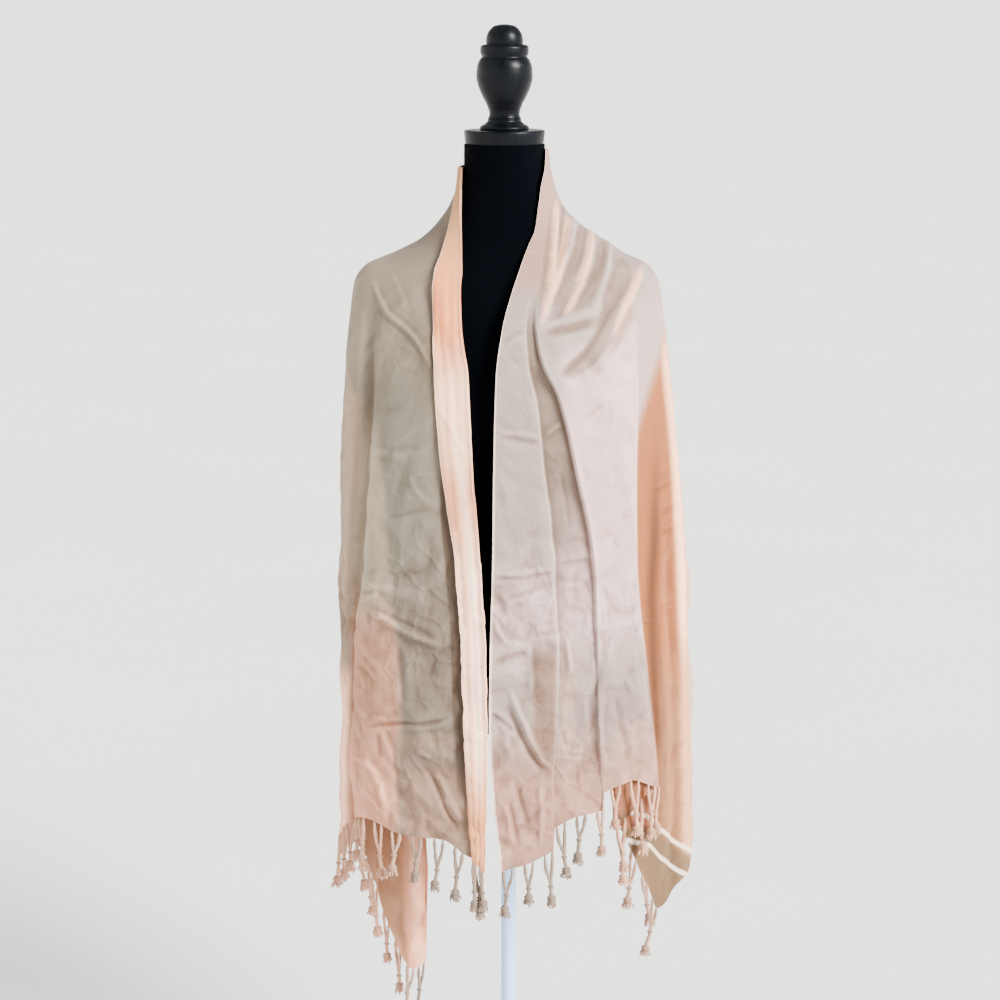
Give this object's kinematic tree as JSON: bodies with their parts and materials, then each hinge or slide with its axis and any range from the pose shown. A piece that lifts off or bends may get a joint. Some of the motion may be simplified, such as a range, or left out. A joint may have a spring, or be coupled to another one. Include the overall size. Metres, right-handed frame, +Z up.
{
  "type": "pashmina shawl on a dress form",
  "caption": "Fringed pashmina shawl worn open over the shoulders of a limbless dress form on a pole stand, one front edge turned back.",
  "frame": {"origin": "centre of the base's underside", "axes": "+Z up along the pole, -Y the front where the shawl hangs open, +X to the right as seen from the front"},
  "size_m": [0.477, 0.33, 1.5936],
  "materials": {
    "pashmina": "soft matte weave, peach",
    "black_jersey": "matte black knit",
    "black_satin": "satin black paint",
    "white_enamel": "smooth white enamel"
  },
  "bodies": {
    "root": {"shawl_left": "pashmina", "shawl_back": "pashmina", "shawl_right": "pashmina", "fringe_left_band": "pashmina", "fringe_left_front": "pashmina", "fringe_left_side": "pashmina", "fringe_right_front": "pashmina", "fringe_right_side": "pashmina", "torso": "black_jersey", "neck_cap": "black_satin", "finial": "black_satin", "pole": "white_enamel", "base": "white_enamel"}
  },
  "joints": []
}
